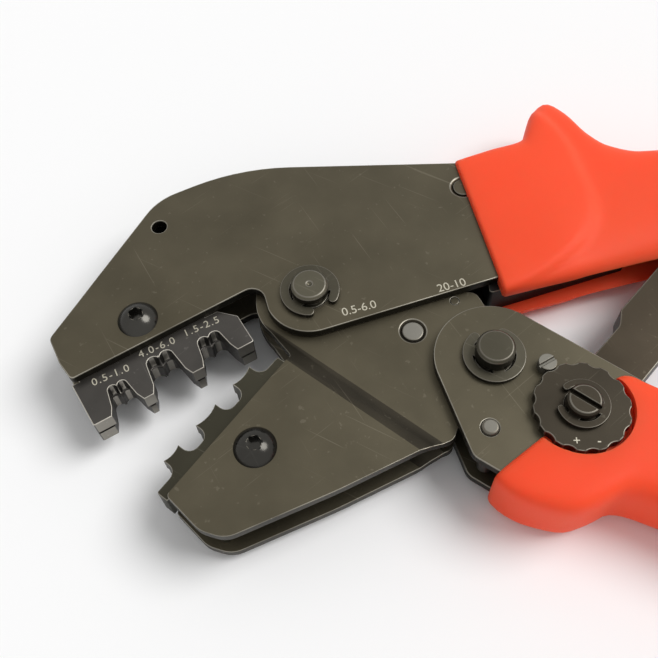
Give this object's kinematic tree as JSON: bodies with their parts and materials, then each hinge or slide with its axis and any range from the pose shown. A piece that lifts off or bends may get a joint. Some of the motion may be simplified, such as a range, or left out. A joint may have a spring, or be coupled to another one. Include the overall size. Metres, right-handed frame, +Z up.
{
  "type": "ratchet crimping tool",
  "caption": "Hand lever crimping tool with interchangeable dies, a pivoting jaw, a toggle handle, a thrust arm on an adjustable eccentric, and red dipped grips.",
  "frame": {"origin": "centre of the open tool's outline on the floor that it lies on", "axes": "+X from the jaws to the handle ends, +Y to the fixed handle's side, +Z up through the pivots, the front plates uppermost"},
  "size_m": [0.2197, 0.1481, 0.0181],
  "materials": {
    "burnished_steel": "satin, burnished dark",
    "dark_steel": "satin, blackened",
    "bright_steel": "ground",
    "grip": "soft, slightly glossy"
  },
  "bodies": {
    "frame": {"frame_plate_front": "burnished_steel", "frame_plate_back": "burnished_steel", "frame_spacer": "dark_steel", "frame_rivets": "burnished_steel", "upper_die": "bright_steel", "upper_die_screw": "dark_steel", "main_pivot_pin": "burnished_steel", "main_pivot_clip": "dark_steel", "arm_pivot_pin": "burnished_steel", "upper_grip": "grip", "return_spring": "bright_steel"},
    "jaw": {"jaw_plate_front": "burnished_steel", "jaw_plate_back": "burnished_steel", "jaw_spacers": "dark_steel", "jaw_rivet": "burnished_steel", "jaw_spring_pin": "burnished_steel", "lower_die": "bright_steel", "lower_die_screw": "dark_steel"},
    "handle": {"handle_plate_front": "burnished_steel", "handle_plate_back": "burnished_steel", "handle_spacer": "dark_steel", "handle_rivets": "burnished_steel", "handle_pivot_pin": "burnished_steel", "handle_pivot_clip": "dark_steel", "lower_grip": "grip", "eccentric_bolt": "burnished_steel", "adjusting_wheel": "burnished_steel", "wheel_clip": "dark_steel", "lock_screw": "bright_steel", "pawl_pin": "burnished_steel", "spring_post": "burnished_steel", "pawl_spring": "bright_steel"},
    "arm": {"thrust_arm": "dark_steel"},
    "pawl": {"ratchet_pawl": "bright_steel"}
  },
  "joints": [
    {"name": "jaw_close", "type": "hinge", "parent": "frame", "child": "jaw", "pos_m": [-0.0618, 0.02539, 0.008], "axis": [0, 0, -1], "range_deg": [0, 21.5], "stiffness_Nm_per_rad": 0.4, "springref_deg": -11.46, "deforming": ["return_spring"]},
    {"name": "handle_squeeze", "type": "hinge", "parent": "jaw", "child": "handle", "pos_m": [-0.0287, 0.01099, 0.008], "axis": [0, 0, 1], "range_deg": [0, 73.17]},
    {"name": "arm_swing", "type": "hinge", "parent": "handle", "child": "arm", "pos_m": [-0.0146, -0.00021, 0.008], "axis": [0, 0, -1], "range_deg": [0, 57.01]},
    {"name": "pawl_tilt", "type": "hinge", "parent": "handle", "child": "pawl", "pos_m": [-0.0306, -0.00281, 0.008], "axis": [0, 0, 1], "range_deg": [-8, 8], "stiffness_Nm_per_rad": 0.02, "deforming": ["pawl_spring"]}
  ],
  "couplings": [
    {"joint": "handle_squeeze", "follows": "jaw_close", "ratio": 3.4033},
    {"joint": "arm_swing", "follows": "jaw_close", "ratio": 2.6516}
  ]
}
